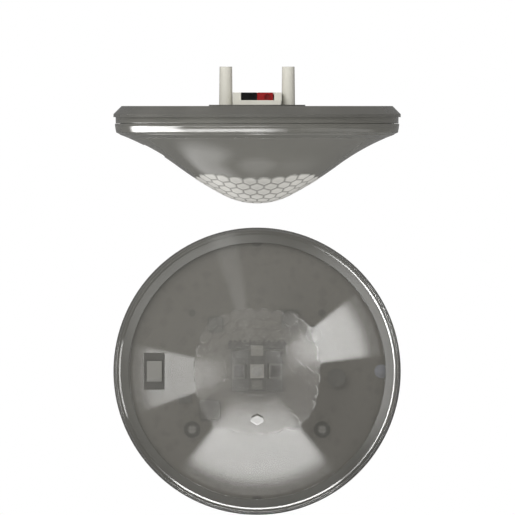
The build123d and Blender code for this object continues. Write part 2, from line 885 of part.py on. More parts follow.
with BuildPart() as board_screws:
    with Locations(*[(x, y, board_bottom) for x, y in screw_places]):
        add(one_screw.part)

board_screws.part.label = "board_screws"
export_step(board_screws.part, "parts/board_screws.step")


def flank(side):
    """Plane on the middle of the carrier's left (-1) or right (1) sloping face, looking outwards."""
    middle = ((carrier_width + ridge_width) / 4 * side, 0, ridge_level + flank_drop / 2)
    tilt = math.radians(flank_angle)
    return Plane(origin=middle, x_dir=(0, 1, 0), z_dir=(math.sin(tilt) * side, 0, -math.cos(tilt)))


# Sensor carrier: block with a flat ridge and two sloping faces, each with a pocket for a heat sensor
with BuildPart() as sensor_carrier:
    with BuildSketch(Plane.XZ.offset(-carrier_depth / 2)):
        with BuildLine():
            Polyline(
                (-carrier_width / 2, board_bottom),
                (carrier_width / 2, board_bottom),
                (carrier_width / 2, ridge_level + flank_drop),
                (ridge_width / 2, ridge_level),
                (-ridge_width / 2, ridge_level),
                (-carrier_width / 2, ridge_level + flank_drop),
                close=True,
            )
        make_face()
    extrude(amount=carrier_depth)
    for side in (1, -1):
        with BuildSketch(flank(side)):
            Rectangle(heat_sensor_size + 2 * heat_sensor_fit, heat_sensor_size + 2 * heat_sensor_fit)
        extrude(amount=-heat_sensor_seat, mode=Mode.SUBTRACT)
        with BuildSketch(flank(side)):
            with GridLocations(2 * lead_pitch, lead_pitch, 2, 2):
                Circle(lead_radius + heat_sensor_fit)
        extrude(amount=-carrier_height, mode=Mode.SUBTRACT)
    with BuildSketch(Plane.XY.offset(board_bottom)):
        with Locations((pole_x, 0), (-pole_x, 0)):
            Circle(solder_radius + 2 * pin_hole_fit)
    extrude(amount=-solder_height - pin_hole_fit, mode=Mode.SUBTRACT)
    with BuildSketch(Plane.XY.offset(ridge_level)):
        with Locations(*peg_places):
            Circle(peg_radius)
    extrude(amount=-peg_length)

sensor_carrier.part.label = "sensor_carrier"
export_step(sensor_carrier.part, "parts/sensor_carrier.step")


def heat_sensor(side):
    """Square sensor package in its pocket, with a shallow seat for its window."""
    with BuildPart() as sensor:
        with BuildSketch(flank(side).offset(-heat_sensor_seat)):
            RectangleRounded(heat_sensor_size, heat_sensor_size, heat_sensor_corner)
        extrude(amount=heat_sensor_height)
        with BuildSketch(flank(side).offset(heat_sensor_height - heat_sensor_seat)):
            Rectangle(heat_window_size, heat_window_size)
        extrude(amount=-heat_window_thickness, mode=Mode.SUBTRACT)
    return sensor


def heat_window(side):
    """Dark filter window let into the face of a heat sensor."""
    with BuildPart() as window:
        with BuildSketch(flank(side).offset(heat_sensor_height - heat_sensor_seat)):
            Rectangle(heat_window_size, heat_window_size)
        extrude(amount=-heat_window_thickness)
    return window


heat_sensor_left = heat_sensor(-1)
heat_sensor_left.part.label = "heat_sensor_left"
export_step(heat_sensor_left.part, "parts/heat_sensor_left.step")

heat_sensor_right = heat_sensor(1)
heat_sensor_right.part.label = "heat_sensor_right"
export_step(heat_sensor_right.part, "parts/heat_sensor_right.step")

heat_window_left = heat_window(-1)
heat_window_left.part.label = "heat_window_left"
export_step(heat_window_left.part, "parts/heat_window_left.step")

heat_window_right = heat_window(1)
heat_window_right.part.label = "heat_window_right"
export_step(heat_window_right.part, "parts/heat_window_right.step")

# Sensor leads: four short wires from the back of each heat sensor to the board
with BuildPart() as sensor_leads:
    for side in (1, -1):
        with BuildSketch(flank(side).offset(-heat_sensor_seat)):
            with GridLocations(2 * lead_pitch, lead_pitch, 2, 2):
                Circle(lead_radius)
        extrude(amount=-carrier_height)
    split(bisect_by=Plane.XY.offset(board_bottom), keep=Keep.BOTTOM)

sensor_leads.part.label = "sensor_leads"
export_step(sensor_leads.part, "parts/sensor_leads.step")

# Light board: narrow circuit board on the carrier's ridge, held by two pegs
with BuildPart() as light_board:
    with BuildSketch(Plane.XY.offset(ridge_level)):
        Rectangle(light_board_width, light_board_length)
        with Locations(*peg_places):
            Circle(peg_radius + peg_fit, mode=Mode.SUBTRACT)
    extrude(amount=-light_board_thickness)

light_board.part.label = "light_board"
export_step(light_board.part, "parts/light_board.step")

# Status light: square package with a round cup, and its clear lens
with BuildPart() as status_light:
    with BuildSketch(Plane.XY.offset(light_board_face)):
        Rectangle(light_size, light_size)
    extrude(amount=-light_height)
    with BuildSketch(Plane.XY.offset(light_face)):
        Circle(light_cup_radius)
    extrude(amount=light_cup_depth, mode=Mode.SUBTRACT)

status_light.part.label = "status_light"
export_step(status_light.part, "parts/status_light.step")

with BuildPart() as light_lens:
    with BuildSketch(Plane.XZ):
        with BuildLine():
            Polyline(
                (light_cup_radius, light_face),
                (light_cup_radius, light_face + light_cup_depth),
                (0, light_face + light_cup_depth),
                (0, light_face - light_dome_rise),
            )
            dome_radius = (light_cup_radius**2 + light_dome_rise**2) / (2 * light_dome_rise)
            RadiusArc((0, light_face - light_dome_rise), (light_cup_radius, light_face), -dome_radius)
        make_face()
    revolve(axis=Axis.Z)

light_lens.part.label = "light_lens"
export_step(light_lens.part, "parts/light_lens.step")

# Brightness sensor: pale flat package beside the status light
with BuildPart() as brightness_sensor:
    with BuildSketch(Plane.XY.offset(light_board_face)):
        with Locations((0, brightness_sensor_y)):
            Rectangle(brightness_sensor_width, brightness_sensor_length)
    extrude(amount=-brightness_sensor_height)
    chamfer(brightness_sensor.faces().sort_by(Axis.Z)[0].edges(), brightness_sensor_edge)

brightness_sensor.part.label = "brightness_sensor"
export_step(brightness_sensor.part, "parts/brightness_sensor.step")

# Infrared receiver: round package near the edge of the board, with a low domed lens
with BuildPart() as infrared_receiver:
    with BuildSketch(Plane.XZ):
        with BuildLine():
            inner = receiver_radius - receiver_shoulder
            Polyline(
                (receiver_x, board_bottom - receiver_height),
                (receiver_x, board_bottom),
                (receiver_x + receiver_radius, board_bottom),
                (receiver_x + receiver_radius, board_bottom - receiver_base_height),
                (receiver_x + inner, board_bottom - receiver_base_height),
            )
            rise = receiver_height - receiver_base_height
            dome_radius = (inner**2 + rise**2) / (2 * rise)
            RadiusArc(
                (receiver_x + inner, board_bottom - receiver_base_height),
                (receiver_x, board_bottom - receiver_height),
                dome_radius,
            )
        make_face()
    revolve(axis=Axis((receiver_x, 0, 0), (0, 0, 1)))

infrared_receiver.part.label = "infrared_receiver"
export_step(infrared_receiver.part, "parts/infrared_receiver.step")

# Button frame: open-backed box on the board, with the window for the programming button
with BuildPart() as button_frame:
    with BuildSketch(Plane.XY.offset(board_bottom)):
        with Locations((button_x, 0)):
            Rectangle(frame_width, frame_length)
    extrude(amount=-frame_height)
    with BuildSketch(Plane.XY.offset(board_bottom)):
        with Locations((button_x, 0)):
            Rectangle(frame_width - 2 * frame_side_wall, frame_length - 2 * frame_end_wall)
    extrude(amount=frame_face - frame_height, mode=Mode.SUBTRACT)
    with BuildSketch(Plane.XY.offset(frame_face_level)):
        with Locations((button_x, 0)):
            Rectangle(button_width + 2 * button_fit, button_length + 2 * button_fit)
    extrude(amount=frame_face, mode=Mode.SUBTRACT)

button_frame.part.label = "button_frame"
export_step(button_frame.part, "parts/button_frame.step")

# Programming button: cap with one sloping end and a flange behind the frame's face
with BuildPart() as programming_button:
    with BuildSketch(Plane.XY.offset(button_top)):
        with Locations((button_x, 0)):
            Rectangle(button_width, button_length)
    extrude(amount=button_face - button_top)
    far_edge = programming_button.faces().sort_by(Axis.Z)[0].edges().sort_by(Axis.Y)[-1]
    chamfer(far_edge, length=button_proud, length2=button_slope)
    with BuildSketch(Plane.XY.offset(button_top)):
        with Locations((button_x, 0)):
            Rectangle(button_width, button_length + 2 * button_flange_reach)
    extrude(amount=-button_flange)

programming_button.part.label = "programming_button"
export_step(programming_button.part, "parts/programming_button.step")

# Programming switch: small square switch on the board, with a round plunger that the button presses
with BuildPart() as programming_switch:
    with BuildSketch(Plane.XY.offset(board_bottom)):
        with Locations((button_x, 0)):
            Rectangle(switch_size, switch_size)
    extrude(amount=-switch_height)
    with BuildSketch(Plane.XY.offset(switch_face)):
        with Locations((button_x, 0)):
            Circle(plunger_radius + plunger_fit)
    extrude(amount=plunger_root + button_travel + plunger_fit, mode=Mode.SUBTRACT)

programming_switch.part.label = "programming_switch"
export_step(programming_switch.part, "parts/programming_switch.step")

with BuildPart() as switch_plunger:
    with BuildSketch(Plane.XY.offset(button_top)):
        with Locations((button_x, 0)):
            Circle(plunger_radius)
    extrude(amount=switch_face + plunger_root - button_top)

switch_plunger.part.label = "switch_plunger"
export_step(switch_plunger.part, "parts/switch_plunger.step")

# Board header: long socket on the main board, and the ribbon from the light board into it
header_y = -(carrier_depth / 2 + header_gap + header_width / 2)
header_face = board_bottom - header_height
with BuildPart() as board_header:
    with BuildSketch(Plane.XY.offset(board_bottom)):
        with Locations((0, header_y)):
            Rectangle(header_length, header_width)
    extrude(amount=-header_height)
    with BuildSketch(Plane.XY.offset(header_face)):
        with Locations((0, header_y)):
            Rectangle(ribbon_width + 2 * ribbon_thickness, 2 * ribbon_thickness)
    extrude(amount=ribbon_seat, mode=Mode.SUBTRACT)
    with BuildSketch(Plane.XZ.offset(-header_y + header_width / 2)):
        with Locations((0, board_bottom)):
            with GridLocations(header_length / header_pin_count, 0, header_pin_count, 1):
                Rectangle(header_pin_size, header_pin_size, align=(Align.CENTER, Align.MAX))
    extrude(amount=header_pin_size)

board_header.part.label = "board_header"
export_step(board_header.part, "parts/board_header.step")

with BuildPart() as ribbon:
    with BuildSketch(Plane.YZ.offset(-ribbon_width / 2)):
        with BuildLine():
            near = -light_board_length / 2 + ribbon_overlap
            low = light_board_face - ribbon_thickness
            far = header_y - ribbon_thickness / 2
            FilletPolyline(
                (near, low),
                (far, low),
                (far, header_face + ribbon_seat),
                radius=ribbon_bend + ribbon_thickness,
            )
            Line((far, header_face + ribbon_seat), (far + ribbon_thickness, header_face + ribbon_seat))
            FilletPolyline(
                (far + ribbon_thickness, header_face + ribbon_seat),
                (far + ribbon_thickness, light_board_face),
                (near, light_board_face),
                radius=ribbon_bend,
            )
            Line((near, light_board_face), (near, low))
        make_face()
    extrude(amount=ribbon_width)

ribbon.part.label = "ribbon"
export_step(ribbon.part, "parts/ribbon.step")


def flat_chip(centre, size, leg_count):
    """Square chip on the board's lens side, standing on a row of legs at each side."""
    with BuildPart() as chip:
        with BuildSketch(Plane.XY.offset(board_bottom - chip_foot)):
            with Locations(centre):
                Rectangle(size, size)
        extrude(amount=-chip_height)
        chamfer(chip.faces().sort_by(Axis.Z)[0].edges(), chip_edge)
        leg_pitch = size / (leg_count + 1)
        with BuildSketch(Plane.XY.offset(board_bottom)):
            with Locations(centre):
                with GridLocations(size + chip_leg_reach, leg_pitch, 2, leg_count):
                    Rectangle(chip_leg_length, leg_pitch / 2)
                with GridLocations(leg_pitch, size + chip_leg_reach, leg_count, 2):
                    Rectangle(leg_pitch / 2, chip_leg_length)
        extrude(amount=-chip_leg_height)
    return chip


processor_chip = flat_chip(processor_place, processor_size, processor_leg_count)
processor_chip.part.label = "processor_chip"
export_step(processor_chip.part, "parts/processor_chip.step")

bus_coupler = flat_chip(coupler_place, coupler_size, coupler_leg_count)
bus_coupler.part.label = "bus_coupler"
export_step(bus_coupler.part, "parts/bus_coupler.step")

# Storage capacitors: two upright cans on square bases, each with a crimped groove
with BuildPart() as storage_capacitors:
    with BuildSketch(Plane.XY.offset(board_bottom)):
        with Locations(*capacitor_places):
            Rectangle(capacitor_base, capacitor_base)
    extrude(amount=-capacitor_base_height)
    with BuildSketch(Plane.XY.offset(board_bottom - capacitor_base_height)):
        with Locations(*capacitor_places):
            Circle(capacitor_radius)
    extrude(amount=capacitor_base_height - capacitor_height)
    chamfer(storage_capacitors.faces().sort_by(Axis.Z)[:2].edges(), capacitor_edge)
    with BuildSketch(Plane.XY.offset(board_bottom - capacitor_groove_level)):
        with Locations(*capacitor_places):
            Circle(capacitor_radius)
            Circle(capacitor_radius - capacitor_groove_depth, mode=Mode.SUBTRACT)
    extrude(amount=-capacitor_groove_depth, mode=Mode.SUBTRACT)

storage_capacitors.part.label = "storage_capacitors"
export_step(storage_capacitors.part, "parts/storage_capacitors.step")

# Choke: drum core with a winding between two round flanges
with BuildPart() as choke:
    with BuildSketch(Plane.XY.offset(board_bottom)):
        with Locations(choke_place):
            Circle(choke_radius)
    extrude(amount=-choke_height)
    with BuildSketch(Plane.XY.offset(board_bottom - choke_flange)):
        with Locations(choke_place):
            Circle(choke_radius)
            Circle(choke_radius - choke_flange, mode=Mode.SUBTRACT)
    extrude(amount=2 * choke_flange - choke_height, mode=Mode.SUBTRACT)

choke.part.label = "choke"
export_step(choke.part, "parts/choke.step")

# Timing crystal: small metal can with rounded corners
with BuildPart() as timing_crystal:
    with BuildSketch(Plane.XY.offset(board_bottom)):
        with Locations(crystal_place):
            RectangleRounded(crystal_length, crystal_width, crystal_corner_radius)
    extrude(amount=-crystal_height)
    fillet(timing_crystal.faces().sort_by(Axis.Z)[0].edges(), crystal_edge_radius)

timing_crystal.part.label = "timing_crystal"
export_step(timing_crystal.part, "parts/timing_crystal.step")
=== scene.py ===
import math

import bmesh
import bpy
import numpy as np
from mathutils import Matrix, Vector
from mathutils.kdtree import KDTree


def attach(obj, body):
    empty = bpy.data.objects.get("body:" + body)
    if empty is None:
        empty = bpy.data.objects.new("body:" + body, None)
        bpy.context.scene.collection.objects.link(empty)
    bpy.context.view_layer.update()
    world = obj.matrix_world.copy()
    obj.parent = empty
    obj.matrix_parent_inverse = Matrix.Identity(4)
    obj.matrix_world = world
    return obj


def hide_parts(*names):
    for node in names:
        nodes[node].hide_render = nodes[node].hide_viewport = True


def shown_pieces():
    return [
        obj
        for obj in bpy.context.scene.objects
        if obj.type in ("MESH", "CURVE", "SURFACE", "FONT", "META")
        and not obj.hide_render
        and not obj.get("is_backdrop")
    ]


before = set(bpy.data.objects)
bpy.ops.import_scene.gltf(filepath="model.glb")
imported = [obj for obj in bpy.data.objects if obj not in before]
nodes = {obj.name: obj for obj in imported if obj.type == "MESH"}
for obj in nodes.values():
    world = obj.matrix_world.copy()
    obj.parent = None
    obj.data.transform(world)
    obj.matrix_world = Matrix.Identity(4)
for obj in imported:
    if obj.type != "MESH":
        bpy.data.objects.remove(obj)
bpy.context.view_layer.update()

# The view: square on to the side of the detector, as it hangs from a ceiling, with no perspective.
# The frame is 515 pixels square, 2.763 of them to a millimetre, and the ceiling is at pixel row 105.5.
# The detector's axis is at column 257.08, and in the lower view its centre is at row 370.72.
MM = 0.001
FRAME_PIXELS = 515
PIXELS_PER_MM = 2.763
CEILING_ROW = 105.5
AXIS_COLUMN = 257.08
PLAN_ROW = 370.72
CAMERA_STAND_OFF = 5.0
PLAN_STAND_OFF = 20.0

scene = bpy.context.scene
scene.view_settings.view_transform = "Standard"
bpy.ops.object.select_all(action="DESELECT")

bpy.ops.object.camera_add(
    location=(
        (FRAME_PIXELS / 2 - AXIS_COLUMN) / PIXELS_PER_MM * MM,
        -CAMERA_STAND_OFF,
        (CEILING_ROW - (FRAME_PIXELS - 1) / 2) / PIXELS_PER_MM * MM,
    ),
    rotation=(math.radians(90), 0, 0),
)
camera = bpy.context.object
camera.name = "camera"
camera.data.type = "ORTHO"
camera.data.ortho_scale = FRAME_PIXELS / PIXELS_PER_MM * MM
camera.data.clip_start = 0.1
camera.data.clip_end = 60
scene.camera = camera


class Wire:
    """One socket of a material's nodes. Sums, differences and products of wires add Math nodes."""

    def __init__(self, tree, socket):
        self.tree = tree
        self.socket = socket

    def node(self, kind, settings, inputs, output=0):
        """Adds a node of that kind: its settings first, then values or wires into its sockets."""
        made = self.tree.nodes.new(kind)
        for name, value in settings.items():
            setattr(made, name, value)
        for name, value in inputs.items():
            if isinstance(value, Wire):
                self.tree.links.new(value.socket, made.inputs[name])
            else:
                made.inputs[name].default_value = value
        return Wire(self.tree, made.outputs[output])

    def math(self, operation, other=None, swapped=False):
        """Math node on this wire, alone or with a second value or wire."""
        first, second = (other, self) if swapped else (self, other)
        inputs = {0: self} if other is None else {0: first, 1: second}
        return self.node("ShaderNodeMath", {"operation": operation}, inputs)

    def __add__(self, other):
        return self.math("ADD", other)

    __radd__ = __add__

    def __sub__(self, other):
        return self.math("SUBTRACT", other)

    def __rsub__(self, other):
        return self.math("SUBTRACT", other, swapped=True)

    def __mul__(self, other):
        return self.math("MULTIPLY", other)

    def between(self, low, high):
        """0 below low, 1 above high and smooth between, or the other way round if low is above high."""
        start, end = (0, 1) if low < high else (1, 0)
        return self.node(
            "ShaderNodeMapRange",
            {"interpolation_type": "SMOOTHSTEP"},
            {0: self, 1: min(low, high), 2: max(low, high), 3: start, 4: end},
        )

    def noise(self, size, detail=2.0, roughness=0.5):
        """Cloudy pattern, 0 to 1, whose patches are about that size in metres."""
        return self.node(
            "ShaderNodeTexNoise",
            {},
            {"Vector": self, "Scale": 1 / size, "Detail": detail, "Roughness": roughness},
        )

    def axis(self, name):
        """One of X, Y and Z of a vector."""
        return self.node("ShaderNodeSeparateXYZ", {}, {0: self}, output=name)

    def blend(self, first, second):
        """Colour that goes from first to second as this goes from 0 to 1."""
        return self.node("ShaderNodeMix", {"data_type": "RGBA"}, {0: self, 6: first, 7: second}, output=2)


def start_finish(name):
    """New material with nothing in it but Object coordinates, given as a wire."""
    material = bpy.data.materials.new(name)
    material.use_nodes = True
    tree = material.node_tree
    tree.nodes.clear()
    return material, Wire(tree, tree.nodes.new("ShaderNodeTexCoord").outputs["Object"])


def end_finish(material, shader):
    """Links a finished shader to the material's output."""
    output = material.node_tree.nodes.new("ShaderNodeOutputMaterial")
    material.node_tree.links.new(shader.socket, output.inputs["Surface"])
    return material


def shade(colour, share=1.0):
    """Linear colour with alpha 1 from sRGB levels of 0 to 255, made lighter or darker by a share."""
    levels = [level / 255 for level in colour]
    linear = [v / 12.92 if v < 0.04045 else ((v + 0.055) / 1.055) ** 2.4 for v in levels]
    return (*[min(v * share, 1) for v in linear], 1)


def dress(piece, material):
    """Gives a piece one finish all over."""
    for number in range(len(piece.data.materials)):
        piece.data.materials[number] = material
    if not piece.data.materials:
        piece.data.materials.append(material)


# The room: white all round for the camera, for reflections and through clear plastic, and soft grey light
# from everywhere. A pale floor lies well below the lens, unseen by reflections.
FLOOR_LEVEL = -0.12
FLOOR_RADIUS = 1.5
FLOOR_LIFT = 0.45
ROOM_LIGHT = 0.4
white = (1, 1, 1, 1)

world = bpy.data.worlds.new("room")
world.use_nodes = True
scene.world = world
room = world.node_tree
room.nodes.clear()
light_path = room.nodes.new("ShaderNodeLightPath")
camera_ray = Wire(room, light_path.outputs["Is Camera Ray"])
clear_ray = Wire(room, light_path.outputs["Is Transmission Ray"])
glossy_ray = Wire(room, light_path.outputs["Is Glossy Ray"])
seen = camera_ray + clear_ray + glossy_ray
sky = seen.node("ShaderNodeBackground", {}, {"Color": white, "Strength": 1.0})
soft = seen.node("ShaderNodeBackground", {}, {"Color": (1, 0.985, 0.96, 1), "Strength": ROOM_LIGHT})
mixed = seen.node("ShaderNodeMixShader", {}, {0: seen, 1: soft, 2: sky})
room_output = room.nodes.new("ShaderNodeOutputWorld")
room.links.new(mixed.socket, room_output.inputs["Surface"])

bpy.ops.mesh.primitive_circle_add(
    vertices=96, radius=FLOOR_RADIUS, fill_type="NGON", location=(0, 0, FLOOR_LEVEL)
)
floor = bpy.context.object
floor.name = "floor"
floor.visible_glossy = False
floor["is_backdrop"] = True
finish, place = start_finish("floor_paint")
paint = place.noise(0.3).between(0, 1).blend(shade((236, 236, 234)), shade((242, 242, 240)))
matt = place.node("ShaderNodeBsdfDiffuse", {}, {"Color": paint})
lift = place.node("ShaderNodeEmission", {}, {"Color": white, "Strength": FLOOR_LIFT})
lifted = place.node("ShaderNodeAddShader", {}, {0: matt, 1: lift})
from_camera = place.node("ShaderNodeLightPath", {}, {}, output="Is Camera Ray")
floor_shader = place.node("ShaderNodeMixShader", {}, {0: from_camera, 1: matt, 2: lifted})
dress(floor, end_finish(finish, floor_shader))

# The lamps: large soft ones above, in front of and behind the detector, and one for its second showing,
# which stands far behind it and shows below it in the picture.
OBJECT_CENTRE = (0, 0, -0.015)
PLAN_SHIFT = Vector((0, PLAN_STAND_OFF, -(PLAN_ROW - CEILING_ROW) / PIXELS_PER_MM * MM))


def soft_lamp(name, offset, size, energy, centre):
    """Square area lamp that stands off by that offset and faces the centre."""
    bpy.ops.object.light_add(type="AREA", location=Vector(centre) + Vector(offset))
    lamp = bpy.context.object
    lamp.name = name
    lamp.data.size = size
    lamp.data.energy = energy
    lamp.rotation_euler = (-Vector(offset)).to_track_quat("-Z", "Y").to_euler()
    lamp.visible_glossy = False


soft_lamp("lamp_above", (-0.5, -0.9, 0.9), 0.9, 10.5, OBJECT_CENTRE)
soft_lamp("lamp_front", (-0.15, -1.0, 0.05), 0.5, 5.5, OBJECT_CENTRE)
soft_lamp("lamp_behind", (0.4, 1.0, 0.6), 0.8, 6, OBJECT_CENTRE)
soft_lamp("plan_lamp", (-0.4, -1.0, 0.5), 0.9, 9, PLAN_SHIFT)

# The tents: round ones of dull grey cloth stand about each showing of the detector, with glowing panels
# inside. Only reflections see them. The far panels light the lens, and the near ones the casing's side.
TENT_RADIUS = 0.6
PANEL_RADIUS = 0.59
PANEL_STEP = 0.005
PANEL_SEGMENTS = 120
PANEL_RINGS = 90
PANEL_MARGIN_SIDE = 3
PANEL_MARGIN_RISE = 2
NEAR_RADIUS = 0.095
NEAR_CENTRE = (0, 0, -0.008)
CLOTH_GLOW = 0.2
FACE_DOWN_TO_CAMERA = math.radians(-90)


def hang(shell, name, centre, tilt, glow, through=True):
    """Puts a piece of a tent in its place and hides it from all rays but reflected ones. The glow is a
    function of its Object coordinates, and a piece that is through lets what is behind it show too."""
    shell.name = name
    shell.location = centre
    shell.rotation_euler = (tilt, 0, 0)
    finish, place = start_finish(name + "_glow")
    lit = place.node("ShaderNodeEmission", {}, {"Color": (1, 0.995, 0.985, 1), "Strength": glow(place)})
    if through:
        clear = place.node("ShaderNodeBsdfTransparent", {}, {})
        lit = place.node("ShaderNodeAddShader", {}, {0: lit, 1: clear})
    dress(shell, end_finish(finish, lit))
    for ray in ("camera", "diffuse", "transmission", "shadow", "volume_scatter"):
        setattr(shell, "visible_" + ray, False)
    shell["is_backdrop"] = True
    return finish


def cloth_tent(name, centre):
    """Closed tent of grey cloth, which lights nothing by itself."""
    bpy.ops.mesh.primitive_ico_sphere_add(subdivisions=4, radius=TENT_RADIUS, location=(0, 0, 0))
    cloth = hang(bpy.context.object, name, centre, 0, lambda place: CLOTH_GLOW, through=False)
    cloth.cycles.emission_sampling = "NONE"


def glowing_panels(name, centre, tilt, radius, panels):
    """Panels bent to a sphere about a centre. Each is its middle and half width round the detector's
    axis, from +X towards +Y, its lowest and highest angle above the level, its glow, and the blur of its
    edges sideways and upwards. All angles are in degrees."""
    for number, (middle, half, low, high, strength, side_blur, rise_blur) in enumerate(panels):
        bpy.ops.mesh.primitive_uv_sphere_add(
            segments=PANEL_SEGMENTS, ring_count=PANEL_RINGS, radius=radius, location=(0, 0, 0)
        )
        panel = bpy.context.object
        panel.scale = (1 - number * PANEL_STEP,) * 3
        bpy.ops.object.transform_apply(location=False, rotation=False, scale=True)
        widest = half + side_blur + PANEL_MARGIN_SIDE
        lowest = low - rise_blur - PANEL_MARGIN_RISE
        highest = high + rise_blur + PANEL_MARGIN_RISE
        shell = bmesh.new()
        shell.from_mesh(panel.data)
        spare = []
        for face in shell.faces:
            way = face.calc_center_median().normalized()
            rise = math.degrees(math.asin(way.z))
            off = abs((math.degrees(math.atan2(way.y, way.x)) - middle + 180) % 360 - 180)
            if off > widest or not lowest < rise < highest:
                spare.append(face)
        bmesh.ops.delete(shell, geom=spare, context="FACES")
        shell.to_mesh(panel.data)
        shell.free()

        def glow(place):
            """Full inside the panel's edges, and fading over the blur at each."""
            to_degrees = 180 / math.pi
            way = place.node("ShaderNodeVectorMath", {"operation": "NORMALIZE"}, {0: place})
            rise = way.axis("Z").math("ARCSINE") * to_degrees
            turn = way.axis("Y").math("ARCTAN2", way.axis("X")) * to_degrees
            off = place.node("ShaderNodeMath", {"operation": "WRAP"}, {0: turn - middle, 1: -180.0, 2: 180.0})
            across = off.math("ABSOLUTE").between(half + side_blur, half - side_blur)
            above_low = rise.between(low - rise_blur, low + rise_blur)
            below_high = rise.between(high + rise_blur, high - rise_blur)
            return across * above_low * below_high * strength

        hang(panel, name + "_panel_" + str(number), centre, tilt, glow)


cloth_tent("tent", OBJECT_CENTRE)
glowing_panels("far", OBJECT_CENTRE, 0, PANEL_RADIUS, [
    (252, 56, -64, -52, 2.5, 16, 4),
    (0, 181, -91, -71, 0.8, 1, 4),
    (0, 181, -91, -84, 19, 1, 3),
    (124, 14, -62, -38, 1.4, 9, 6),
    (28, 26, -70, -42, 0.5, 12, 6),
])
glowing_panels("near", NEAR_CENTRE, 0, NEAR_RADIUS, [
    (197, 22, -13, -3.5, 16, 6, 1),
    (247, 34, -14, -8.5, 11.5, 12, 1),
    (325, 26, -13, -7, 1, 10, 1),
])
cloth_tent("plan_tent", PLAN_SHIFT)
glowing_panels("plan", PLAN_SHIFT, FACE_DOWN_TO_CAMERA, PANEL_RADIUS, [
    (-22.7, 15, -33, -8, 15, 1.5, 4),
    (-183.5, 15.5, -34, -8, 8.5, 1.5, 4),
    (-270, 37, -33, -8, 15, 3, 5),
    (-104, 5, -46, -8, 1.6, 3, 4),
    (0, 181, -50, -46, 2.6, 1, 1.2),
    (-15, 42, -51, -44, 3.5, 16, 1.5),
    (-130, 36, -50, -44, 1.5, 16, 1.5),
    (-8, 46, -15, -9, 22, 16, 1.5),
    (90, 40, -15, -9, 8, 12, 1.5),
    (0, 40, -4, 8, 3, 10, 3),
])


# Moulded plastics: the whole casing is injection moulded, with a fine even grain where a tool was spark
# eroded and a polished face where light has to pass. Colour varies slightly, as in any moulding.
CLOUD_SIZE = 0.018
COLOUR_SPREAD = 0.08


def edge_on(place, cover):
    """How opaque a see-through wall is: that share seen square on, and all of it seen edge on."""
    facing = place.node("ShaderNodeLayerWeight", {}, {"Blend": 0.5}, output="Facing")
    return facing.between(0.12, 0.6) * (1 - cover) + cover


def moulded(name, colour, gloss, grain=0.00025, relief=0.004, cover=1.0, coat=0.0):
    """Moulded plastic: its colour, its roughness, the size of its grain in metres and its depth in mm, how
    opaque it is, and how much of a polished skin it has."""
    finish, place = start_finish(name)
    clouds = place.noise(CLOUD_SIZE, detail=3)
    fine = place.noise(grain, detail=3, roughness=0.6)
    tint = (clouds * 0.7 + fine * 0.3).between(0.3, 0.7)
    bump = place.node("ShaderNodeBump", {}, {"Strength": 0.25, "Distance": relief * MM, "Height": fine})
    shader = place.node(
        "ShaderNodeBsdfPrincipled",
        {},
        {
            "Base Color": tint.blend(shade(colour, 1 - COLOUR_SPREAD), shade(colour, 1 + COLOUR_SPREAD)),
            "Roughness": gloss + (clouds - 0.5) * 0.06 + (fine - 0.5) * 0.05,
            "Alpha": cover if cover == 1 else edge_on(place, cover),
            "Coat Weight": coat,
            "Coat Roughness": 0.06,
            "Normal": bump,
        },
    )
    return end_finish(finish, shader)


# Mounting plate: dished disc of grey plastic, moulded in one piece with its lip and hooks.
# It is screwed to the box in the ceiling, and the head turns onto its three hooks.
plate_plastic = moulded("plate_moulding", (98, 97, 93), 0.22, coat=0.3, cover=0.8)
dress(nodes["mounting_plate"], plate_plastic)

# Rear cover: back half of the casing, of smoky plastic. It turns onto the plate's hooks, carries the main
# board, and has a spigot that the bezel ring clips onto.
casing_plastic = moulded("casing_moulding", (107, 106, 101), 0.1, coat=0.4, cover=0.78)
dress(nodes["rear_cover"], casing_plastic)

# Lens dome: thin shell of smoky plastic that lets heat through, with a flange behind the bezel. Its tip
# carries a field of small six-sided facets, each bulging a little, in four sectors. Sizes are in mm, and
# an arc is its radius and its sweep in degrees.
LENS_TIP_LEVEL = -35.18
LENS_WALL = 1.1
TIP_ARC = (26.0, 27.5)
SIDE_ARC = (130.0, 9.0)
LENS_RADIUS = 46.42
LENS_SEAM = -11.56
LENS_PROUD = 0.16
LENS_EDGE = 0.12
LENS_EDGE_ANGLE = 24
FLANGE_RADIUS = 48.1
FLANGE_FACE = -8.931
FLANGE_EDGE = -9.931
FLANGE_ROOT = -10.644
FIELD_SHARE = 0.68
OUTER_STEP = 0.2
SKIRT_STEPS = 3
EDGE_STEP = 0.04
INNER_STEP = 2.0
LENS_TURNS = 504
LENS_SMOOTH_ANGLE = 30
MERGE_DISTANCE = 0.000002

# The facets: their rows, how far apart they are, how high they stand and how they round off. A facet's
# face is flatter than the dome, and it falls away over its rim to a narrow valley.
FACET_SECTORS = 4
FACET_ROWS = 6
FACET_PITCH = 3.75
SECTOR_STRETCH = 1.5
FACET_LIMIT = 2.75
FACET_RIM = 0.9
FACET_TOP = 0.07
FACET_FLATTEN = 36.0
FIELD_MARGIN = 4.6
FADE_OUT = -0.3
POLISHED_NEAR = Vector((0, 18.7, -29))
POLISHED_RIM = 0.2
FROST_FADE = 0.55

# The lens's finish. Over the programming button it is clear, in a rectangle, so that the button shows.
# That rectangle is in metres, as a finish's coordinates are.
SMOKY = (112, 111, 106)
# The white that frosted facets go to: a little for the frost's own paleness, and more as a painted sheen
# where they are seen edge on.
FROST_AND_SHEEN_WHITE = (222, 220, 216)
FROST = 0.32
POLISH = 0.06
LENS_COVER = 0.42
PANE_X = -0.0372
PANE_HALF_X = 0.00375
PANE_HALF_Y = 0.00665
PANE_EDGE = 0.0001
PANE_FRONT = -0.0125
PANE_BACK = -0.012


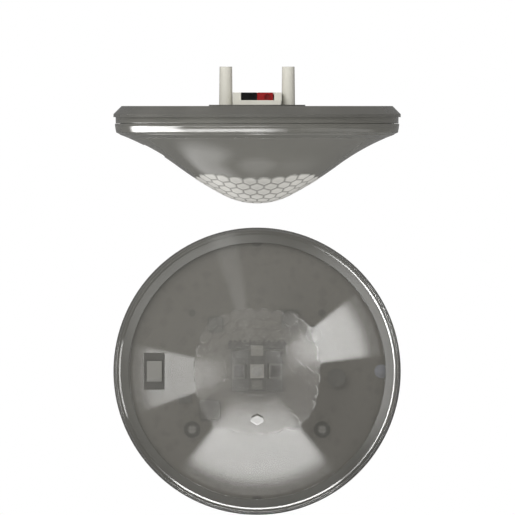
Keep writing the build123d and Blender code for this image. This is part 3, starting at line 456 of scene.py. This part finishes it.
def arc_points(start, angle, radius, sweep, step):
    """Points of an arc from a start, first heading at that angle, in steps of about that length."""
    count = max(2, round(abs(math.radians(sweep)) * radius / step))
    side = 1 if sweep > 0 else -1
    points = []
    for number in range(1, count + 1):
        a = math.radians(angle + sweep * number / count)
        b = math.radians(angle)
        points.append((
            start[0] + side * radius * (math.sin(a) - math.sin(b)),
            start[1] - side * radius * (math.cos(a) - math.cos(b)),
        ))
    return points


def dome_points(tip, offset, end, step):
    """Outline of the dome from its tip: two arcs bulging out and one that meets the end point. The
    offset is how far inside the outer face it runs. Its steps are longer beyond the share of the side
    arc that has facets."""
    points = [(0, tip)]
    points += arc_points(points[-1], 0, TIP_ARC[0] - offset, TIP_ARC[1], step)
    side_radius = SIDE_ARC[0] - offset
    skirt_step = step * SKIRT_STEPS
    field = SIDE_ARC[1] * FIELD_SHARE
    points += arc_points(points[-1], TIP_ARC[1], side_radius, field, step)
    points += arc_points(points[-1], TIP_ARC[1] + field, side_radius, SIDE_ARC[1] - field, skirt_step)
    heading = TIP_ARC[1] + SIDE_ARC[1]
    across = end[0] - points[-1][0]
    up = end[1] - points[-1][1]
    bend = heading - math.degrees(math.atan2(up, across))
    radius = math.hypot(across, up) / 2 / math.sin(math.radians(bend))
    points += arc_points(points[-1], heading, radius, -2 * bend, skirt_step)
    return points


def spun(name, outline, steps, closed=False):
    """Shell of revolution about the object's axis, from an outline of (radius, level) in mm. A closed
    outline goes back to its start; one that isn't closed starts and ends on the axis."""
    mesh = bpy.data.meshes.new(name)
    corners = [(r * MM, 0, z * MM) for r, z in outline]
    edges = [(n, n + 1) for n in range(len(corners) - 1)]
    if closed:
        edges.append((len(corners) - 1, 0))
    mesh.from_pydata(corners, edges, [])
    piece = bpy.data.objects.new(name, mesh)
    scene.collection.objects.link(piece)
    bpy.ops.object.select_all(action="DESELECT")
    piece.select_set(True)
    bpy.context.view_layer.objects.active = piece
    turned = piece.modifiers.new("turned", "SCREW")
    turned.steps = turned.render_steps = steps
    turned.use_merge_vertices = True
    turned.merge_threshold = MERGE_DISTANCE
    bpy.ops.object.modifier_apply(modifier=turned.name)
    bpy.ops.object.mode_set(mode="EDIT")
    bpy.ops.mesh.select_all(action="SELECT")
    bpy.ops.mesh.normals_make_consistent(inside=False)
    bpy.ops.object.mode_set(mode="OBJECT")
    return piece


edge_angle = math.radians(LENS_EDGE_ANGLE)
edge_radius = LENS_EDGE / (1 - math.sin(edge_angle))
outer = dome_points(LENS_TIP_LEVEL, 0, (LENS_RADIUS - LENS_EDGE, LENS_SEAM - LENS_PROUD), OUTER_STEP)
rim = arc_points(outer[-1], LENS_EDGE_ANGLE, edge_radius, 90 - LENS_EDGE_ANGLE, EDGE_STEP)
inner = dome_points(LENS_TIP_LEVEL + LENS_WALL, LENS_WALL, (FLANGE_RADIUS, FLANGE_FACE), INNER_STEP)
lens_outline = outer + rim + [(LENS_RADIUS, FLANGE_ROOT), (FLANGE_RADIUS, FLANGE_EDGE)] + inner[::-1]
lens = spun("lens_dome_faceted", lens_outline, LENS_TURNS)


def dome_at(distance):
    """Radius and level of the dome's outline at a distance from its tip along the outline, in mm."""
    walked = 0
    for (r0, z0), (r1, z1) in zip(outer, outer[1:]):
        stride = math.hypot(r1 - r0, z1 - z0)
        if walked + stride >= distance:
            share = (distance - walked) / stride
            return r0 + (r1 - r0) * share, z0 + (z1 - z0) * share
        walked += stride
    return outer[-1]


# One facet is at the tip. In each sector the first row has two, and every row after it has one more, side
# by side on a line straight across the sector.
facet_centres = [Vector((0, 0, LENS_TIP_LEVEL))]
for row in range(1, FACET_ROWS + 1):
    for number in range(row + 1):
        lean = math.atan((number / (row + 1) - 0.5) / math.cos(math.radians(30)))
        radius, level = dome_at(row * FACET_PITCH / math.cos(lean))
        for sector in range(FACET_SECTORS):
            turn = math.radians(360 / FACET_SECTORS * sector) + SECTOR_STRETCH * lean
            facet_centres.append(Vector((radius * math.cos(turn), radius * math.sin(turn), level)))

polished_place = min(facet_centres, key=lambda centre: (centre - POLISHED_NEAR).length)
facet_tree = KDTree(len(facet_centres))
for number, centre in enumerate(facet_centres):
    facet_tree.insert(centre, number)
facet_tree.balance()

# Every corner of the mesh in the field is moved along its normal, by a rise that comes from how far it is
# from its own facet's centre, and from the edge that it shares with the next nearest facet.
corner_count = len(lens.data.vertices)
corners = np.zeros(corner_count * 3)
outward = np.zeros(corner_count * 3)
lens.data.vertices.foreach_get("co", corners)
lens.data.vertices.foreach_get("normal", outward)
corners = corners.reshape(-1, 3) / MM
outward = outward.reshape(-1, 3)
field_edge = dome_at(FACET_ROWS * FACET_PITCH + FIELD_MARGIN)[1]
faceted = np.flatnonzero((corners[:, 2] < field_edge) & (outward[:, 2] < 0))
nearest = [facet_tree.find_n(corners[number], 2) for number in faceted]
away = np.array([first[2] for first, second in nearest])
from_edge = np.array([
    (second[2] ** 2 - first[2] ** 2) / (2 * (second[0] - first[0]).length)
    for first, second in nearest
])
from_edge = np.minimum(from_edge, FACET_LIMIT - away)
pillow = np.clip(from_edge / FACET_RIM, 0, 1)
rise = FACET_TOP * (1 - (1 - pillow) ** 2) + pillow * away**2 / (2 * FACET_FLATTEN)
rise[from_edge < FADE_OUT] = 0
corners[faceted] += outward[faceted] * rise[:, None]
lens.data.vertices.foreach_set("co", (corners * MM).ravel())

# Two values go to the finish at every corner: how frosted it is, and whether it is on the polished facet.
polished_here = np.array([(first[0] - polished_place).length < 1 for first, second in nearest])
frosted = np.zeros(corner_count)
frosted[faceted] = np.clip(from_edge / FROST_FADE, 0, 1)
frosted[faceted[polished_here]] = 0
polished = np.zeros(corner_count)
polished[faceted[polished_here]] = from_edge[polished_here] > POLISHED_RIM
lens.data.attributes.new("polished", "FLOAT", "POINT").data.foreach_set("value", polished)
lens.data.attributes.new("frosted", "FLOAT", "POINT").data.foreach_set("value", frosted)
lens.data.update()
bpy.ops.object.shade_smooth_by_angle(angle=math.radians(LENS_SMOOTH_ANGLE))

finish, place = start_finish("lens_moulding")
clouds = place.noise(CLOUD_SIZE, detail=3)
facing = place.node("ShaderNodeLayerWeight", {}, {"Blend": 0.5}, output="Facing")
frost = place.node("ShaderNodeAttribute", {"attribute_name": "frosted"}, {}, output="Fac")
polish = place.node("ShaderNodeAttribute", {"attribute_name": "polished"}, {}, output="Fac")
off_x = (place.axis("X") - PANE_X).math("ABSOLUTE")
off_y = place.axis("Y").math("ABSOLUTE")
pane = off_x.between(PANE_HALF_X + PANE_EDGE, PANE_HALF_X - PANE_EDGE)
pane = pane * off_y.between(PANE_HALF_Y + PANE_EDGE, PANE_HALF_Y - PANE_EDGE)
pane = pane * place.axis("Z").between(PANE_BACK, PANE_FRONT)
# Painted sheen: the frosted facets are painted paler the more edge on they are seen, on top of the frost's
# own slight paleness.
painted_sheen = facing.between(0.25, 0.75)
frost_and_painted_sheen = frost * (painted_sheen + 0.11) + clouds * 0.05
gloss = frost.between(0, 0.05) * (FROST - POLISH) + clouds * 0.02 + 0.05
cover = facing.between(0.12, 0.5) * (1 - LENS_COVER) + LENS_COVER + polish * 0.4
shader = place.node(
    "ShaderNodeBsdfPrincipled",
    {},
    {
        "Base Color": frost_and_painted_sheen.blend(shade(SMOKY, 0.98), shade(FROST_AND_SHEEN_WHITE)),
        "Roughness": gloss,
        "Alpha": cover * (1 - pane),
        "Coat Weight": polish * 0.3,
        "Coat Roughness": 0.12,
    },
)
dress(lens, end_finish(finish, shader))
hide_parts("lens_dome")
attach(lens, "lens_cover")

# Light passes the lens as if it weren't there, so that what is behind it is lit.
lens.visible_shadow = False
lens.visible_diffuse = False

# Bezel ring: front half of the casing wall, moulded of the same smoky plastic and clipped over the rear
# cover's spigot. Its side bulges a little, a fine step runs round near the top, and a slightly steeper
# band runs round the bevel. Its outline goes from the edge at the lens up the outside and down the inside.
LENS_EDGE_RADIUS = 46.5
BEZEL_TOP = -6.38
BEZEL_INNER = 49.7
BEZEL_STEP = -8.58
POCKET_RADIUS = 48.18
POCKET_LEVEL = -9.897
LEDGE_LEVEL = -10.61
CORNER_RADIUS = 0.45
CORNER_ANGLE = 21.1
BULGE_RADIUS = 14.0
BULGE_ANGLE = 76
BULGE_SWEEP = 8.8
BULGE_STEP = 0.2
BEZEL_TURNS = 432
BEZEL_SMOOTH_ANGLE = 24
bezel_outline = [
    # Rounded edge at the lens.
    (LENS_EDGE_RADIUS, LENS_SEAM + 0.06), (46.52, LENS_SEAM + 0.01), (46.58, LENS_SEAM), (46.7, -11.514),
    # Bevel, with the steeper band from radius 49.5 to 50.
    (49.42, -10.464), (49.5, -10.433), (49.56, -10.384), (49.94, -10.077), (50.0, -10.028),
    (50.08, -9.997), (50.75, -9.739),
]
bezel_outline += arc_points(
    bezel_outline[-1], CORNER_ANGLE, CORNER_RADIUS, BULGE_ANGLE - CORNER_ANGLE, EDGE_STEP
)
bezel_outline += arc_points(bezel_outline[-1], BULGE_ANGLE, BULGE_RADIUS, BULGE_SWEEP, BULGE_STEP)
bezel_outline += [
    # Fine step near the top, and the rounded top edge.
    (51.41, -7.26), (51.44, -7.24), (51.44, -6.5), (51.4, -6.41), (51.33, BEZEL_TOP),
    # Inside: the wall round the spigot, the pocket for the lens's flange and the slope beside it.
    (BEZEL_INNER, BEZEL_TOP), (BEZEL_INNER, BEZEL_STEP), (POCKET_RADIUS, BEZEL_STEP),
    (POCKET_RADIUS, POCKET_LEVEL), (LENS_EDGE_RADIUS, LEDGE_LEVEL),
]
bezel = spun("bezel_ring_turned", bezel_outline, BEZEL_TURNS, closed=True)
bpy.ops.object.shade_smooth_by_angle(angle=math.radians(BEZEL_SMOOTH_ANGLE))
dress(bezel, casing_plastic)
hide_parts("bezel_ring")
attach(bezel, "lens_cover")

# Connector block: pale warm plastic, moulded in one with its two hollow posts and the low ledge. It stands
# on the rear cover's hub and takes the bus plug between its walls.
pale_plastic = moulded("pale_moulding", (206, 204, 194), 0.42)
dress(nodes["connector_block"], pale_plastic)

# Bus plug: two housings that clip side by side, black for minus and red for plus, each with four wire
# holes on top and a round test hole in front.
dress(nodes["plug_housing_black"], moulded("plug_black_moulding", (14, 14, 15), 0.35))
dress(nodes["plug_housing_red"], moulded("plug_red_moulding", (132, 8, 10), 0.33))


# Metal inside the plug: in each half a tinned contact with its tube for the pin, and steel springs that
# clamp the wires, all cut and bent from sheet.
MARK_SIZE = 0.0003
ALONG_Z = (1, 1, 0.1)


def metal(name, colour, gloss, streak=(1, 1, 1)):
    """Bare or plated metal with fine rolling or turning marks, which a streak stretches along an axis."""
    finish, place = start_finish(name)
    stretched = place.node("ShaderNodeMapping", {}, {"Vector": place, "Scale": streak})
    marks = stretched.noise(MARK_SIZE, detail=4, roughness=0.6)
    clouds = place.noise(0.003)
    bump = place.node("ShaderNodeBump", {}, {"Strength": 0.2, "Distance": 0.002 * MM, "Height": marks})
    shader = place.node(
        "ShaderNodeBsdfPrincipled",
        {},
        {
            "Base Color": clouds.blend(shade(colour, 0.85), shade(colour, 1.1)),
            "Metallic": 1.0,
            "Roughness": gloss + (marks - 0.5) * 0.15,
            "Normal": bump,
        },
    )
    return end_finish(finish, shader)


sheet_metal = metal("tinned_sheet", (196, 196, 192), 0.3, ALONG_Z)
for name in ("plug_contact_black", "plug_contact_red", "plug_springs_black", "plug_springs_red"):
    dress(nodes[name], sheet_metal)

# Bus pins and sensor leads: drawn brass, soldered to the main board. The two pins go up from it into the
# plug, and four thin leads go from the back of each heat sensor to it.
brass = metal("brass_pin", (206, 178, 110), 0.28, ALONG_Z)
for name in ("bus_pins", "sensor_leads"):
    dress(nodes[name], brass)


# Main board and light board: glass fibre laminate under a grey solder mask, with faint copper tracks
# under the mask. The main board is screwed to the rear cover, and two pegs hold the light board.
WEAVE_PITCH = 0.0006
TRACK_CELLS = 220.0


def laminate(name, colour):
    """Board laminate: weave under the mask, and tracks that show as slightly lighter lines."""
    finish, place = start_finish(name)
    weave_x = (place.axis("X") * (math.tau / WEAVE_PITCH)).math("SINE")
    weave_y = (place.axis("Y") * (math.tau / WEAVE_PITCH)).math("SINE")
    cells = place.node(
        "ShaderNodeTexVoronoi", {"distance": "MANHATTAN"}, {"Vector": place, "Scale": TRACK_CELLS}
    )
    track = cells.between(0.42, 0.5)
    tone = (track * 0.6 + weave_x * weave_y * 0.1 + 0.2).between(0, 1)
    bump = place.node("ShaderNodeBump", {}, {"Strength": 0.3, "Distance": 0.03 * MM, "Height": track})
    shader = place.node(
        "ShaderNodeBsdfPrincipled",
        {},
        {
            "Base Color": tone.blend(shade(colour, 0.88), shade(colour, 1.12)),
            "Roughness": 0.35 + place.noise(0.002) * 0.15,
            "Normal": bump,
        },
    )
    return end_finish(finish, shader)


dress(nodes["main_board"], laminate("board_laminate_finish", (112, 108, 101)))
dress(nodes["light_board"], laminate("light_board_finish", (72, 72, 70)))

# Board screws: black oxide steel with round heads and a cross slot. They hold the main board to the rear
# cover's bosses. A painted highlight makes their heads pale in the middle. Their places are in metres.
SCREW_X = 0.02352
SCREW_Y = 0.0211
HIGHLIGHT_INNER = 0.0008
HIGHLIGHT_OUTER = 0.0019
finish, place = start_finish("black_oxide")
across = place.axis("X").math("ABSOLUTE") - SCREW_X
along = place.axis("Y") - SCREW_Y
off_centre = (across * across + along * along).math("SQRT")
# Painted highlight: pale in the middle of each head and dark round it.
painted_highlight = off_centre.between(HIGHLIGHT_OUTER, HIGHLIGHT_INNER)
scratches = place.noise(MARK_SIZE, detail=4, roughness=0.6)
bump = place.node("ShaderNodeBump", {}, {"Strength": 0.2, "Distance": 0.002 * MM, "Height": scratches})
shader = place.node(
    "ShaderNodeBsdfPrincipled",
    {},
    {
        "Base Color": painted_highlight.blend(shade((50, 49, 47)), shade((172, 170, 165))),
        "Roughness": 0.35 + (scratches - 0.5) * 0.1,
        "Coat Weight": 0.4,
        "Normal": bump,
    },
)
dress(nodes["board_screws"], end_finish(finish, shader))

# Sensor carrier: dark moulded block with two sloping sides that aim the heat sensors, fixed to the main
# board. The board header, the programming switch and its plunger are of the same dark plastic.
dark_plastic = moulded("dark_moulding", (58, 57, 55), 0.35)
for name in ("sensor_carrier", "board_header", "programming_switch", "switch_plunger"):
    dress(nodes[name], dark_plastic)

# Heat sensors: square metal cans set into the carrier's slopes, each with a dark filter window that is
# clear to heat, glued into its front.
sensor_metal = metal("sensor_can", (112, 111, 108), 0.5)
window_glass = moulded("filter_window", (66, 64, 66), 0.08, grain=0.001, relief=0.0005)
for side in ("left", "right"):
    dress(nodes["heat_sensor_" + side], sensor_metal)
    dress(nodes["heat_window_" + side], window_glass)

# Status light: pale square package with a round cup, soldered to the light board. A clear domed lens of
# cast resin fills the cup.
resin = moulded("clear_resin", (235, 234, 230), 0.05, relief=0.0005, cover=0.55, coat=1.0)
dress(nodes["status_light"], moulded("light_package_moulding", (176, 174, 168), 0.4))
dress(nodes["light_lens"], resin)

# Brightness sensor: pale flat package of cast resin, soldered to the light board beside the status light.
# It tells the detector how much daylight there is.
dress(nodes["brightness_sensor"], moulded("sensor_resin_moulding", (112, 110, 105), 0.3))

# Infrared receiver: round package of bluish resin with a low domed lens, soldered to the main board near
# its edge. It takes the signals of a remote control.
dress(nodes["infrared_receiver"], moulded("receiver_moulding", (158, 161, 172), 0.2, coat=0.4))

# Programming button: cap of grey plastic with one sloping end, held by its flange behind the face of a
# moulded frame on the main board. It presses the switch under it.
dress(nodes["button_frame"], moulded("frame_moulding", (100, 99, 95), 0.3))
dress(nodes["programming_button"], moulded("button_moulding", (146, 145, 140), 0.3))

# Ribbon: flat cable, its wires laid side by side between two films, bent over from the light board into
# the board header.
dress(nodes["ribbon"], moulded("ribbon_film", (150, 148, 140), 0.35))

# Chips: the processor and the bus coupler, in moulded resin packages, soldered to the main board by a row
# of legs at each side. The legs have the package's colour here.
chip_finish = moulded("chip_moulding", (88, 87, 83), 0.45)
for name in ("processor_chip", "bus_coupler"):
    dress(nodes[name], chip_finish)

# Storage capacitors and timing crystal: drawn metal cans, soldered to the main board. The first hold the
# charge for sending, and the last keeps the processor's time.
can_finish = metal("can_aluminium_finish", (140, 139, 136), 0.42, ALONG_Z)
for name in ("storage_capacitors", "timing_crystal"):
    dress(nodes[name], can_finish)

# Choke: drum core of pressed ferrite with its winding between two round flanges, soldered to the main
# board. It keeps the detector's own signals off the bus supply.
dress(nodes["choke"], moulded("ferrite_body", (92, 90, 86), 0.5))

# The same detector again, seen from below: a copy of everything shown, turned to face the camera.
shown = bpy.data.collections.new("shown_again")
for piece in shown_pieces():
    shown.objects.link(piece)
bpy.ops.object.empty_add(location=PLAN_SHIFT, rotation=(FACE_DOWN_TO_CAMERA, 0, 0))
seen_from_below = bpy.context.object
seen_from_below.name = "seen_from_below"
seen_from_below.instance_type = "COLLECTION"
seen_from_below.instance_collection = shown
seen_from_below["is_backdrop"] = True
